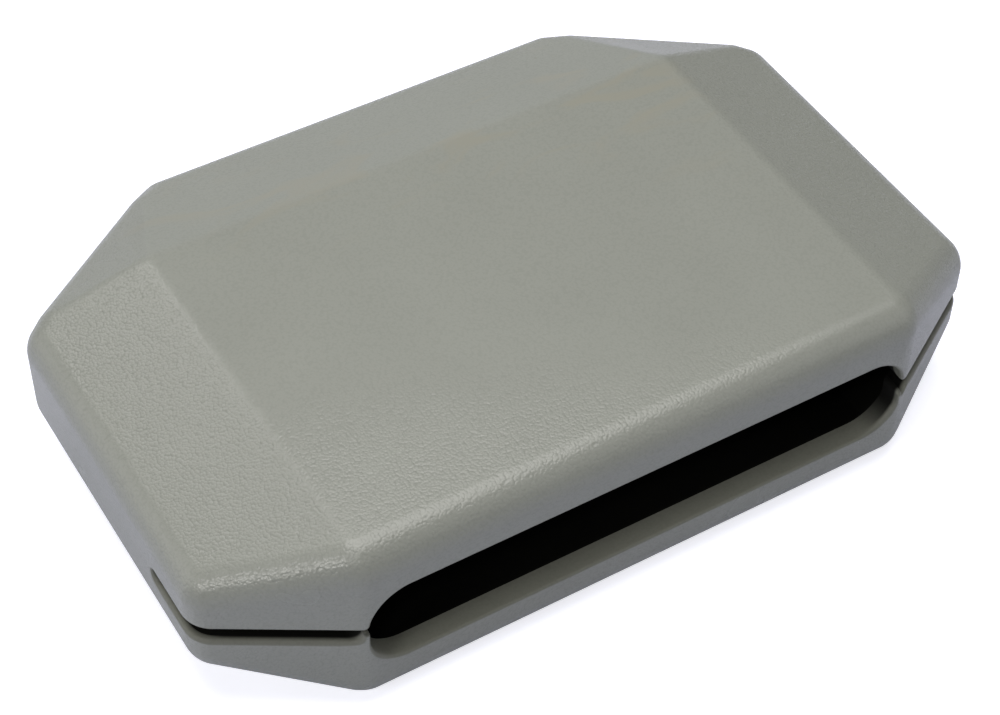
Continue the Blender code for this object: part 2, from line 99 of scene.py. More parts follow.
def ramp(tree, value, low, high):
    """A value's smooth rise from 0 at low to 1 at high; a low above high makes it a fall."""
    return node(tree, "ShaderNodeMapRange", {"Value": value, "From Min": low, "From Max": high},
                interpolation_type="SMOOTHSTEP").outputs[0]


def spread(tree, value, to_low, to_high, low=0.0, high=1.0):
    """A value's even change from one end of a range to the other."""
    return node(tree, "ShaderNodeMapRange", {"Value": value, "From Min": low, "From Max": high,
                                             "To Min": to_low, "To Max": to_high}).outputs[0]


def effect(name, inputs, outputs):
    """An empty shader node group over a Vector, with named number sockets, and its input and output nodes."""
    tree = bpy.data.node_groups.new(name, "ShaderNodeTree")
    tree.interface.new_socket("Vector", in_out="INPUT", socket_type="NodeSocketVector")
    for in_out, labels in (("INPUT", inputs), ("OUTPUT", outputs)):
        for label in labels:
            tree.interface.new_socket(label, in_out=in_out, socket_type="NodeSocketFloat")
    return tree, tree.nodes.new("NodeGroupInput").outputs, tree.nodes.new("NodeGroupOutput").inputs


grain_pitch = 0.00052
pebble_drift, pebble_warp, pebble_blend = 0.45, 0.5, 0.22
tooth_scale, tooth_height, valley_range = 2.2, 0.36, (0.45, 0.75)


def leather_grain():
    """Moulded leather grain: rounded pebbles with narrow valleys, and a finer tooth on top."""
    tree, given, result = effect("leather_grain", ["Pitch"], ["Height", "Valley"])
    per_metre = sum_of(tree, 1.0, given["Pitch"], "DIVIDE")
    cells = vector_of(tree, "SCALE", {0: given["Vector"], "Scale": per_metre})
    drift = noise(tree, cells, pebble_drift, 2.0)["Color"]
    pull = vector_of(tree, "SUBTRACT", {0: drift, 1: (0.5, 0.5, 0.5)})
    warp = vector_of(tree, "SCALE", {0: pull, "Scale": pebble_warp})
    bent = vector_of(tree, "ADD", {0: cells, 1: warp})
    pebble = node(tree, "ShaderNodeTexVoronoi", {"Vector": bent, "Scale": 1.0, "Smoothness": pebble_blend},
                  feature="SMOOTH_F1").outputs["Distance"]
    tooth = noise(tree, bent, tooth_scale, 1.0)[0]
    dome = sum_of(tree, 1.0, sum_of(tree, pebble, pebble, "MULTIPLY"), "SUBTRACT")
    tree.links.new(sum_of(tree, dome, sum_of(tree, tooth, tooth_height, "MULTIPLY")), result["Height"])
    tree.links.new(ramp(tree, pebble, *valley_range), result["Valley"])
    return tree


polish_slant, polish_drift, polish_ragged = 0.35, 38.0, 0.016
polished_over = (half_height + end_wall_half, 1.9 * half_height)
polished_behind, polished_between = (-0.046, -0.020), (0.060, 0.053)
smeared_behind, smear_range = (0.004, 0.040), (0.50, 0.68)
smear_turn, smear_stretch, smear_swirl = (0.0, 0.0, 0.5), (55.0, 150.0, 55.0), 0.8
speck_spacing, speck_size, speckless_share = 0.0128, 0.00035, 0.86


def struck_wear():
    """Wear of the struck top: grain polished down behind the front edge, brownish smears and a few specks."""
    tree, given, result = effect("struck_wear", [], ["Polish", "Smear", "Dark", "Pale"])
    place = given["Vector"]
    x, y, z = node(tree, "ShaderNodeSeparateXYZ", {0: place}).outputs
    drift = noise(tree, place, polish_drift, 2.0)[0]
    slanted = sum_of(tree, y, sum_of(tree, x, polish_slant, "MULTIPLY"))
    ragged = sum_of(tree, slanted, sum_of(tree, drift, polish_ragged, "MULTIPLY"))
    behind = ramp(tree, ragged, *polished_behind)
    between = ramp(tree, sum_of(tree, x, 0.0, "ABSOLUTE"), *polished_between)
    polish = sum_of(tree, behind, between, "MULTIPLY")
    polish = sum_of(tree, polish, ramp(tree, z, *polished_over), "MULTIPLY")
    tree.links.new(polish, result["Polish"])
    stroke = node(tree, "ShaderNodeMapping",
                  {"Vector": place, "Rotation": smear_turn, "Scale": smear_stretch}).outputs[0]
    smear = noise(tree, stroke, 1.0, 3.0, Distortion=smear_swirl)[0]
    marks = sum_of(tree, ramp(tree, smear, *smear_range), ramp(tree, ragged, *smeared_behind), "MULTIPLY")
    tree.links.new(sum_of(tree, marks, polish, "MULTIPLY"), result["Smear"])
    grid = node(tree, "ShaderNodeTexVoronoi", {"Vector": place, "Scale": 1.0 / speck_spacing}).outputs
    dot = ramp(tree, grid["Distance"], speck_size / speck_spacing, 0.5 * speck_size / speck_spacing)
    chance = node(tree, "ShaderNodeSeparateXYZ", {0: grid["Color"]}).outputs
    for label, share in (("Dark", chance[0]), ("Pale", chance[1])):
        shown = sum_of(tree, sum_of(tree, share, speckless_share, "GREATER_THAN"), dot, "MULTIPLY")
        tree.links.new(sum_of(tree, shown, polish, "MULTIPLY"), result[label])
    return tree


corner_turn = math.atan2(front_corner[1], front_corner[0])
# Where the painted shade in the side slots begins by depth, how much less of it there is over the slot, and
# its spans along the block.
slot_shade_depths, unshaded_over_slot = (0.0007, 0.0014), 0.0013
slot_shade_past_left, slot_shade_past_right = (-0.0561, -0.0571), (0.0490, 0.0558)
smooth_min_per_shortfall = 6


def painted_slot_shade():
    """Painted shade: black deep in the side slots, where the upper shell's lip keeps light off the rim, from
    a little way in behind the walls of the front corners.
    """
    tree, given, result = effect("painted_slot_shade", [], ["Share"])
    x, y, z = node(tree, "ShaderNodeSeparateXYZ", {0: given["Vector"]}).outputs
    aside = sum_of(tree, x, 0.0, "ABSOLUTE")
    deep = sum_of(tree, y, width / 2)
    corner = (length / 2, front_corner[1] - width / 2)
    for heading, turn in ((corner_turn, corner_turn), (math.pi / 2, math.pi / 2 - corner_turn)):
        offset = math.sin(heading) * corner[0] - math.cos(heading) * corner[1]
        reach = sum_of(tree, sum_of(tree, aside, math.sin(heading), "MULTIPLY"),
                       sum_of(tree, y, math.cos(heading), "MULTIPLY"), "SUBTRACT")
        shortfall = edge_radius * (1.0 / math.cos(turn / 2) - 1.0)
        deep = node(tree, "ShaderNodeMath", {0: deep, 1: sum_of(tree, offset, reach, "SUBTRACT"),
                                             2: smooth_min_per_shortfall * shortfall},
                    operation="SMOOTH_MIN").outputs[0]
    over_slot = ramp(tree, z, seam_z + slot_half, seam_z + 2 * slot_half)
    deep = sum_of(tree, deep, sum_of(tree, over_slot, unshaded_over_slot, "MULTIPLY"), "SUBTRACT")
    past = sum_of(tree, ramp(tree, x, *slot_shade_past_right), ramp(tree, x, *slot_shade_past_left), "MAXIMUM")
    tree.links.new(sum_of(tree, ramp(tree, deep, *slot_shade_depths), past, "MULTIPLY"), result["Share"])
    return tree


def shift_colour(tree, share, before, after, blend="MIX"):
    """A Mix node's colour: either side may be a colour or a socket, and so may the share of the second."""
    mix = node(tree, "ShaderNodeMix", {0: share}, data_type="RGBA", blend_type=blend)
    for slot, value in ((6, before), (7, after)):
        if isinstance(value, bpy.types.NodeSocket):
            tree.links.new(value, mix.inputs[slot])
        else:
            mix.inputs[slot].default_value = (*value, 1.0)
    return mix.outputs[2]


grain_effect, wear_effect, slot_shade_effect = leather_grain(), struck_wear(), painted_slot_shade()
tone_scale, tone_drift, gloss_drift = 45.0, 0.035, 0.04
valley_shade, polish_share = -0.05, 0.85
smear_tint, dark_speck, pale_speck = (1.03, 0.99, 0.94), (0.16, 0.12, 0.07), (0.46, 0.46, 0.42)
# Near black of the painted shade deep in the side slots.
painted_shade_colour = (0.006, 0.006, 0.005)


def moulded_plastic(name, colour, grain_depth, roughness, specular=0.5, slot_shaded=False):
    """Grey moulded plastic with the grain as relief, wear on the struck top, and a slow drift of tone and
    gloss. A finish shaded in the slots has painted shade: black deep in the side slots."""
    made = bpy.data.materials.new(name)
    made.use_nodes = True
    tree = made.node_tree
    shader = tree.nodes["Principled BSDF"].inputs
    shader["Specular IOR Level"].default_value = specular
    place = node(tree, "ShaderNodeTexCoord").outputs["Object"]
    grain = node(tree, "ShaderNodeGroup", node_tree=grain_effect)
    wear = node(tree, "ShaderNodeGroup", node_tree=wear_effect)
    for group in (grain, wear):
        tree.links.new(place, group.inputs["Vector"])
    grain.inputs["Pitch"].default_value = grain_pitch
    cloud = noise(tree, place, tone_scale, 3.0)[0]
    tone = spread(tree, cloud, 1.0 - tone_drift, 1.0 + tone_drift)
    shade = sum_of(tree, tone, sum_of(tree, grain.outputs["Valley"], valley_shade, "MULTIPLY"))
    smeared = [level * tilt for level, tilt in zip(colour, smear_tint)]
    tint = shift_colour(tree, 1.0, colour, shade, "MULTIPLY")
    for mark, mark_colour in (("Smear", smeared), ("Dark", dark_speck), ("Pale", pale_speck)):
        tint = shift_colour(tree, wear.outputs[mark], tint, mark_colour)
    rough = spread(tree, cloud, roughness - gloss_drift, roughness + gloss_drift)
    # Painted shade: black and fully rough deep in the side slots, which the upper shell keeps in shadow.
    if slot_shaded:
        slot_shade = node(tree, "ShaderNodeGroup", node_tree=slot_shade_effect)
        tree.links.new(place, slot_shade.inputs["Vector"])
        tint = shift_colour(tree, slot_shade.outputs["Share"], tint, painted_shade_colour)
        rough = sum_of(tree, rough, slot_shade.outputs["Share"], "MAXIMUM")
    tree.links.new(tint, shader["Base Color"])
    tree.links.new(rough, shader["Roughness"])
    worn = sum_of(tree, wear.outputs["Polish"], polish_share, "MULTIPLY")
    height = sum_of(tree, grain.outputs["Height"], sum_of(tree, 1.0, worn, "SUBTRACT"), "MULTIPLY")
    relief = node(tree, "ShaderNodeBump", {"Strength": 1.0, "Distance": grain_depth, "Height": height})
    tree.links.new(relief.outputs[0], shader["Normal"])
    return made


shell_finishes = (
    moulded_plastic("grained_plastic", (0.280, 0.292, 0.262), 0.00007, 0.26),
    # Rim faces: darker than the outside, partly a smoother moulded face and partly painted shade of the lips
    # over them; painted black shade deep in the slots.
    moulded_plastic("smooth_rim_plastic_partly_shaded", (0.20, 0.205, 0.172), 0.000008, 0.42, specular=0.25, slot_shaded=True),
    # Inner faces: near black, painted shade where little light reaches, not the plastic's own colour.
    moulded_plastic("inner_painted_shade_plastic", (0.007, 0.007, 0.006), 0.00002, 0.60, specular=0.1))


def solid(name, bm, finish=OUTSIDE, finishes=shell_finishes):
    """A bmesh made into an object whose faces all have one of its finishes."""
    bmesh.ops.recalc_face_normals(bm, faces=bm.faces)
    for face in bm.faces:
        face.material_index = finish
    mesh = bpy.data.meshes.new(name)
    bm.to_mesh(mesh)
    bm.free()
    for each in finishes:
        mesh.materials.append(each)
    made = bpy.data.objects.new(name, mesh)
    bpy.context.collection.objects.link(made)
    return made


def settle(piece):
    """Turn a piece and its modifiers into a plain mesh."""
    graph = bpy.context.evaluated_depsgraph_get()
    made = bpy.data.meshes.new_from_object(piece.evaluated_get(graph))
    piece.modifiers.clear()
    old = piece.data
    piece.data = made
    bpy.data.meshes.remove(old)
    made.name = piece.name


def carve(piece, tool, operation="DIFFERENCE"):
    """Cut a tool out of a piece, or join it on, and do away with the tool."""
    step = piece.modifiers.new("carve", "BOOLEAN")
    step.object = tool
    step.operation = operation
    step.solver = "EXACT"
    settle(piece)
    bpy.data.objects.remove(tool)


def prism(outline, direction):
    """A closed flat outline of 3-D points, extruded along a direction."""
    bm = bmesh.new()
    face = bm.faces.new([bm.verts.new(point) for point in outline])
    grown = bmesh.ops.extrude_face_region(bm, geom=[face])
    moved = [item for item in grown["geom"] if isinstance(item, bmesh.types.BMVert)]
    bmesh.ops.translate(bm, verts=moved, vec=Vector(direction))
    return bm


def slab(low, high):
    """A box between two opposite corners."""
    bm = bmesh.new()
    size = Vector(high) - Vector(low)
    place = Matrix.Translation((Vector(high) + Vector(low)) / 2) @ Matrix.Diagonal((*size, 1.0))
    bmesh.ops.create_cube(bm, size=1.0, matrix=place)
    return bm


def bar(diameter, start, end, sides=48, end_diameter=None):
    """A round bar between two points, tapered when a second diameter is given."""
    bm = bmesh.new()
    along = Vector(end) - Vector(start)
    middle = Matrix.Translation((Vector(start) + Vector(end)) / 2)
    bmesh.ops.create_cone(bm, cap_ends=True, segments=sides, radius1=diameter / 2,
                          radius2=(end_diameter or diameter) / 2, depth=along.length,
                          matrix=middle @ along.to_track_quat("Z", "Y").to_matrix().to_4x4())
    return bm


def arc(centre, radius, start, end, steps=16):
    """Points of a flat arc, both ends included, angles in degrees."""
    angles = np.radians(np.linspace(start, end, steps + 1))
    return [(centre[0] + radius * math.cos(t), centre[1] + radius * math.sin(t)) for t in angles]


def upright_walls():
    """Outward normal and offset of the eight upright walls, seen in plan."""
    walls = [((0.0, 1.0), width / 2), ((0.0, -1.0), width / 2)]
    for side in (1, -1):
        walls.append(((side, 0.0), length / 2))
        for (across, deep), facing in ((front_corner, -1), (back_corner, 1)):
            normal = np.array((side * deep, facing * across)) / math.hypot(across, deep)
            point = (side * length / 2, facing * (width / 2 - deep))
            walls.append((tuple(normal), float(normal @ point)))
    return walls


def block_faces():
    """Outward normal and offset of every face of the unrounded block, with the seam at z = 0."""
    faces = [(np.array((*normal, 0.0)), offset) for normal, offset in upright_walls()]

    def add(normal, point):
        unit = np.array(normal, dtype=float)
        unit /= np.linalg.norm(unit)
        faces.append((unit, float(unit @ point)))

    apex = np.array((length / 2 - front_corner[0], back_crease_y, half_height))
    end_point = np.array((length / 2, width / 2 - back_corner[1], end_wall_half))
    back_point = np.array((length / 2 - back_corner[0], width / 2, back_wall_half))
    corner = np.cross(end_point - apex, back_point - apex)
    end_fall = (half_height - end_wall_half) / front_corner[0]
    back_fall = (half_height - back_wall_half) / (width / 2 - back_crease_y)
    for up in (1, -1):
        add((0, 0, up), (0, 0, up * half_height))
        add((0, back_fall, up), (0, back_crease_y, up * half_height))
        for side in (1, -1):
            flip = np.array((side, 1, up))
            add((side * end_fall, 0, up), apex * flip)
            add(corner * flip, apex * flip)
    return faces


flat_within_degrees, parallel_within, reached_within = 0.05, 1e-6, 1e-8


def rounded_block(inset, radius, around, quarter):
    """The block's faces moved in by inset, every edge rounded: the hull of a ball set in each corner. The
    ball has a number of points around it and of rings from its middle to its pole."""
    ball = [(0.0, 0.0, radius), (0.0, 0.0, -radius)]
    for ring in range(1 - quarter, quarter):
        tall = math.pi / 2 * ring / quarter
        for step in range(around):
            turn = 2 * math.pi * step / around
            ball.append((radius * math.cos(tall) * math.cos(turn),
                         radius * math.cos(tall) * math.sin(turn), radius * math.sin(tall)))
    ball = np.array(ball)
    faces = block_faces()
    normals = np.array([normal for normal, offset in faces])
    offsets = np.array([offset - inset - float((ball @ normal).max()) for normal, offset in faces])
    corners = {}
    for trio in itertools.combinations(range(len(faces)), 3):
        three = normals[list(trio)]
        if abs(np.linalg.det(three)) > parallel_within:
            point = np.linalg.solve(three, offsets[list(trio)])
            if np.all(normals @ point <= offsets + reached_within):
                corners[tuple(np.round(point, 6))] = point
    bm = bmesh.new()
    for point in corners.values():
        for offset in ball:
            bm.verts.new(point + offset + (0.0, 0.0, seam_z))
    hull = bmesh.ops.convex_hull(bm, input=bm.verts)
    left_over = hull["geom_interior"] + hull["geom_unused"]
    spare = {item for item in left_over if isinstance(item, bmesh.types.BMVert)}
    bmesh.ops.delete(bm, geom=list(spare), context="VERTS")
    bmesh.ops.dissolve_limit(bm, angle_limit=math.radians(flat_within_degrees), verts=bm.verts,
                             edges=bm.edges)
    return bm


def rim_strip(inset, thick, low_z, high_z, front_y):
    """A strip that follows the wall round the ends and the back, behind the side slots."""
    walls = sorted(upright_walls(), key=lambda item: math.atan2(item[0][1], item[0][0]))

    def plan(distance):
        points = []
        for (first, near), (second, next_) in zip(walls, walls[1:] + walls[:1]):
            offsets = np.array((near - distance, next_ - distance))
            points.append(np.linalg.solve(np.array((first, second)), offsets))
        return prism([(x, y, low_z) for x, y in points], (0, 0, high_z - low_z))

    strip = solid("rim_strip", plan(inset), RIM)
    carve(strip, solid("rim_core", plan(inset + thick), RIM))
    carve(strip, solid("rim_front", slab((-far, -far, -far), (far, front_y, far)), RIM))
    return strip


# The wall's line in plan, from the middle of the front round a front corner to the end, by distance along it.
path_samples = 6001
eased = [edge_radius * math.tan(turn / 2) for turn in (corner_turn, math.pi / 2 - corner_turn)]
path_runs = (0.0, length / 2 - front_corner[0] - eased[0], edge_radius * corner_turn,
             math.hypot(*front_corner) - sum(eased), edge_radius * (math.pi / 2 - corner_turn), length / 2)
path_turns = (0.0, 0.0, corner_turn, corner_turn, math.pi / 2, math.pi / 2)
path_s = np.linspace(0.0, sum(path_runs), path_samples)
path_turn = np.interp(path_s, np.cumsum(path_runs), path_turns)
path_x = (np.cumsum(np.cos(path_turn)) - 1.0) * path_s[1]
path_y = np.cumsum(np.sin(path_turn)) * path_s[1] - width / 2
slot_end_s = float(np.interp(slot_end_y, path_y, path_s)) - slot_half
flat_points, corner_points, slot_points, slot_end_steps = 12, 121, 100, 10
mouth_flat_x, mouth_flat_z = mouth_half_length - mouth_end_radius, mouth_half_height - mouth_end_radius
nub_top_z = nub_fillet - slot_half
nub_outer = mouth_half_length + nub_width
nub_foot = nub_outer + nub_fillet
nub_from = mouth_flat_x + mouth_end_radius * math.pi / 2
lead_out, skim = 0.0015, 0.00005


def mouth_corners():
    """The mouth's upper and lower corner as far as the side slot, the lower one over the nub."""
    tip_z = slot_half + slot_tip_radius
    tip_x = math.sqrt((mouth_end_radius + slot_tip_radius) ** 2 - (tip_z - mouth_flat_z) ** 2) + mouth_flat_x
    tip_turn = math.degrees(math.atan2(tip_z - mouth_flat_z, tip_x - mouth_flat_x))
    upper = arc((mouth_flat_x, mouth_flat_z), mouth_end_radius, 90, tip_turn, 24)
    upper += arc((tip_x, tip_z), slot_tip_radius, 180 + tip_turn, 270, 10)[1:]
    lower = arc((mouth_flat_x, -mouth_flat_z), mouth_end_radius, -90, 0, 24)
    lower += arc((mouth_half_length + nub_width / 2, nub_top_z), nub_width / 2, 180, 0, 10)
    lower += arc((nub_foot, nub_top_z), nub_fillet, 180, 270, 12)[1:]
    return upper, lower


def along_edge(points):
    """Distance of each point of an edge from its start."""
    return np.concatenate(((0.0,), np.cumsum(np.hypot(*np.diff(points, axis=0).T))))


def opening_edge(up, corner):
    """Half an edge of the mouth and a side slot, from the middle of the front to the slot's rear end. Its
    points are distances along the wall and heights over the seam."""
    flat = np.linspace((0.0, up * mouth_half_height), (mouth_flat_x, up * mouth_half_height), flat_points,
                       endpoint=False)
    corner = np.array(corner)
    along = along_edge(corner)
    even = np.linspace(0.0, along[-1], corner_points)
    turn = np.column_stack([np.interp(even, along, corner[:, axis]) for axis in (0, 1)])
    turn[:, 0] = np.interp(turn[:, 0], path_x, path_s)
    slot = np.linspace(turn[-1], (slot_end_s, up * slot_half), slot_points)[1:]
    rear = np.array(arc((slot_end_s, 0.0), slot_half, 90.0 * up, 0.0, slot_end_steps))[1:]
    return np.concatenate((flat, turn, slot, rear))


def opening_edges():
    """The opening's upper and lower edge, each with the way it widens, its lip's radius and its share of the
    nub. The marks for the last two are distances along the lower edge from the nub's inner foot."""
    edges = []
    for up, corner in zip((1, -1), mouth_corners()):
        edge = opening_edge(up, corner)
        along = along_edge(edge)
        slope = np.gradient(edge, axis=0)
        slope /= np.linalg.norm(slope, axis=1)[:, None]
        widens = up * np.column_stack((-slope[:, 1], slope[:, 0]))
        ends = (along[-1] - lip_fade, along[-1])
        if up > 0:
            lip = np.interp(along, ends, (upper_lip_radius, slot_end_lip_radius))
            nub = np.zeros(len(edge))
        else:
            marks = (mouth_flat_x, *(nub_from + np.array(lip_marks)), *ends)
            radii = (mouth_lip_radius, 2 * mouth_lip_radius, nub_lip_radius, nub_lip_radius, slot_lip_radius,
                     slot_lip_radius, slot_end_lip_radius)
            lip = np.interp(along, marks, radii)
            nub = np.interp(along, nub_from + np.array(nub_marks), (0.0, 1.0, 1.0, 0.0))
        edges.append((edge, widens, lip, nub))
    return edges


def edge_in_wall(edge, widens, lip, nub, least, rounded, turn, past, sunk):
    """One edge of the opening from left to right in one layer of the wall. The layer has a least depth, a
    share and an angle of the lip's rounding, a distance past the wall's face, and how far nubs are sunk."""
    deep = least + rounded * lip * (1.0 - math.sin(turn))
    flare = lip * (1.0 - math.cos(turn))
    if past:
        deep = np.full(len(edge), least - past)
        flare = flare + (lip * (1.0 - math.sin(turn)) + past) / math.tan(math.pi / 2 - turn)
    s, z = (edge + widens * flare[:, None]).T
    z = z + seam_z - nub * nub_dip * np.clip(1.0 - deep / nub_set_back, 0.0, 1.0) ** 2
    x, y, heading = (np.interp(s, path_s, values) for values in (path_x, path_y, path_turn))
    way_in = heading * np.clip((s - nub_foot) / slot_turn_in, 0.0, 1.0)
    reach = deep / np.cos(heading - way_in)
    x, y = x - np.sin(way_in) * reach, y + np.cos(way_in) * reach
    left, right = (np.column_stack((side * x, y, z - nub * max(sunk, worn)))
                   for side, worn in ((-1, 0.0), (1, nub_worn)))
    return np.concatenate((left[:0:-1], right))


def opening():
    """All that the two shells leave open in front: the mouth with a slot at each end, the nubs and the lips'
    rounding. It is drawn on the wall as if unrolled, then set into the wall layer by layer."""
    lip_turns = np.radians(np.linspace(lip_first_turn, 0.0, lip_steps))
    outer = [(-lead_out, 0.0, lip_turns[0], skim, nub_clear), (0.0, 0.0, lip_turns[0], skim, 0.0)]
    outer += [(0.0, 1.0, turn, 0.0, 0.0) for turn in lip_turns]
    inner = [(nub_set_back, 0.0, 0.0, 0.0, 0.0), (through_wall, 0.0, 0.0, 0.0, 0.0),
             (past_wall, 0.0, 0.0, 0.0, nub_clear)]
    edges = opening_edges()
    bm = bmesh.new()
    rows = []
    for layer in outer + inner:
        upper, lower = (edge_in_wall(*edge, *layer) for edge in edges)
        upper_row = [bm.verts.new(point) for point in upper]
        lower_row = [bm.verts.new(point) for point in lower[1:-1]]
        rows.append((upper_row, [upper_row[0]] + lower_row + [upper_row[-1]]))
    shade_painted_faces = []
    for layer, (near, next_) in enumerate(zip(rows, rows[1:])):
        for first, second in zip(near, next_):
            for k in range(len(first) - 1):
                face = bm.faces.new((first[k], first[k + 1], second[k + 1], second[k]))
                # Faces deep in the slots past the nubs take the inner finish: painted black shade.
                if layer >= len(outer) and abs(face.calc_center_median().x) > nub_outer:
                    shade_painted_faces.append(len(bm.faces) - 1)
    for upper_row, lower_row in (rows[0], rows[-1]):
        for k in range(len(upper_row) - 1):
            around = (upper_row[k], upper_row[k + 1], lower_row[k + 1], lower_row[k])
            bm.faces.new(list(dict.fromkeys(around)))
    made = solid("opening", bm, RIM)
    for k in shade_painted_faces:
        made.data.polygons[k].material_index = INSIDE
    return made


same_place = 1e-7


def round_bay(piece):
    """Round the outer edges of the bay in the underside."""
    bm = bmesh.new()
    bm.from_mesh(piece.data)
    bmesh.ops.remove_doubles(bm, verts=bm.verts, dist=same_place)
    weights = bm.edges.layers.float.new("bevel_weight_edge")
    for edge in bm.edges:
        kinds = {face.material_index for face in edge.link_faces}
        middle = (edge.verts[0].co + edge.verts[1].co) / 2
        if kinds == {OUTSIDE, RIM} and middle.y > 0.0 and middle.z < seam_z - slot_half:
            edge[weights] = 1.0
    bm.to_mesh(piece.data)
    bm.free()
    lip = piece.modifiers.new("lip", "BEVEL")
    lip.limit_method = "WEIGHT"
    lip.width = bay_lip_radius
    lip.segments = 4
    lip.use_clamp_overlap = False
    lip.material = OUTSIDE
    settle(piece)


def even_shading(piece, angle=40.0):
    """Smooth shading that leaves flat faces flat, with edges past the angle kept sharp."""
    piece.data.shade_smooth()
    piece.data.set_sharp_from_angle(angle=math.radians(angle))
    even = piece.modifiers.new("even", "WEIGHTED_NORMAL")
    even.keep_sharp = True
    settle(piece)


lower = solid("lower_shell_moulding", rounded_block(0.0, edge_radius, *edge_steps))
above_seam = solid("above_seam", slab((-far, -far, seam_z - hairline_half), (far, far, far)), RIM)
for side in (-1, 1):
    low_x, high_x = sorted((side * (mouth_half_length - nub_width), side * nub_foot))
    nub_room = slab((low_x, -far, 0.0), (high_x, through_wall - width / 2, seam_z + slot_half))
    carve(above_seam, solid("nub_room", nub_room, RIM))
carve(lower, above_seam)
carve(lower, opening())
hollow = solid("lower_hollow", rounded_block(wall, inner_radius, *inner_steps), INSIDE)
bay_block = slab((-bay_half_width - bay_wall, bay_front_y - bay_wall, -far),
                 (bay_half_width + bay_wall, far, bay_ceiling_z + bay_wall))
carve(hollow, solid("bay_block", bay_block, INSIDE))
for x, y in screw_places:
    boss = bar(boss_diameter, (x, y, bay_ceiling_z), (x, y, bay_ceiling_z + insert_deep + boss_cap))
    carve(hollow, solid("boss", boss, INSIDE))
carve(lower, hollow)
carve(lower, rim_strip(tongue_inset - tongue_play, tongue_thick + 2 * tongue_play,
                       seam_z - tongue_deep - tongue_play, seam_z + wall, tongue_front_y - tongue_play))
bay = slab((-bay_half_width, bay_front_y, -far), (bay_half_width, far, bay_ceiling_z))
carve(lower, solid("bay", bay, RIM))
for x, y in screw_places:
    insert_room = bar(insert_hole, (x, y, bay_ceiling_z - wall), (x, y, bay_ceiling_z + insert_deep))
    carve(lower, solid("insert_room", insert_room, INSIDE))
round_bay(lower)
even_shading(lower)
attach(lower, "block")
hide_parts("lower_shell")

# Threaded inserts: two turned brass sleeves, knurled in two bands that bite into the plastic, pressed into
# the bosses over the bay's roof. The bracket's screws go into them.
insert_diameter, insert_bore, insert_length = 0.0064, 0.0041, 0.0044
insert_edge, knurl_gap, knurl_deep, knurl_points = 0.0003, 0.0007, 0.0002, 72


def turned(profile, sides=64):
    """Turn a profile about Z. A point is a radius and a height, and may have a ripple that draws every second
    copy in. A profile that starts on the axis makes a solid bar, any other a ring."""
    bm = bmesh.new()
    rows = []
    for radius, high, *ripple in profile:
        row = []
        for step in range(sides if radius else 1):
            angle, reach = 2 * math.pi * step / sides, radius - sum(ripple) * (step % 2)
            row.append(bm.verts.new((reach * math.cos(angle), reach * math.sin(angle), high)))
        rows.append(row)
    for first, second in zip(rows, rows[1:] + ([] if len(rows[0]) == 1 else rows[:1])):
        for step in range(sides):
            quad = [first[step % len(first)], first[(step + 1) % len(first)],
                    second[(step + 1) % len(second)], second[step % len(second)]]
            bm.faces.new(list(dict.fromkeys(quad)))
    return bm


tarnish_scale, tarnish_range, peel_scale = 320.0, (0.30, 0.70), 2200.0
scratch_turn, scratch_stretch = (0.35, 0.20, 0.60), (350.0, 5200.0, 700.0)
scratch_range, scratch_deep = (0.60, 0.70), 0.6
dull_rougher, bright_smoother, scratch_rougher = 0.09, 0.05, 0.10


def metal_surface():
    """Plated or turned metal that has been handled: cloudy tone, fine scratches and a faint uneven relief."""
    tree, given, result = effect("metal_surface", [], ["Cloud", "Scratch", "Height"])
    place = given["Vector"]
    drawn = node(tree, "ShaderNodeMapping",
                 {"Vector": place, "Rotation": scratch_turn, "Scale": scratch_stretch}).outputs[0]
    scratch = spread(tree, noise(tree, drawn, 1.0, 2.0)[0], 0.0, 1.0, *scratch_range)
    cut = sum_of(tree, scratch, scratch_deep, "MULTIPLY")
    tree.links.new(noise(tree, place, tarnish_scale, 4.0)[0], result["Cloud"])
    tree.links.new(scratch, result["Scratch"])
    tree.links.new(sum_of(tree, noise(tree, place, peel_scale, 2.0)[0], cut, "SUBTRACT"), result["Height"])
    return tree


metal_effect = metal_surface()


def handled_metal(name, colour, dull_colour, roughness, relief_depth):
    """A bare or plated metal finish whose tone and gloss vary, with scratches that catch the light."""
    made = bpy.data.materials.new(name)
    made.use_nodes = True
    tree = made.node_tree
    shader = tree.nodes["Principled BSDF"].inputs
    shader["Metallic"].default_value = 1.0
    surface = node(tree, "ShaderNodeGroup", node_tree=metal_effect)
    tree.links.new(node(tree, "ShaderNodeTexCoord").outputs["Object"], surface.inputs["Vector"])
    cloud, scratch, height = surface.outputs
    bright = spread(tree, cloud, 0.0, 1.0, *tarnish_range)
    tree.links.new(shift_colour(tree, bright, dull_colour, colour), shader["Base Color"])
    gloss = spread(tree, cloud, roughness + dull_rougher, roughness - bright_smoother, *tarnish_range)
    worn = sum_of(tree, gloss, sum_of(tree, scratch, scratch_rougher, "MULTIPLY"))
    tree.links.new(worn, shader["Roughness"])
    relief = node(tree, "ShaderNodeBump", {"Strength": 1.0, "Distance": relief_depth, "Height": height})
    tree.links.new(relief.outputs[0], shader["Normal"])
    return made


turned_brass = handled_metal("turned_brass", (0.72, 0.53, 0.24), (0.58, 0.41, 0.18), 0.30, 0.000004)


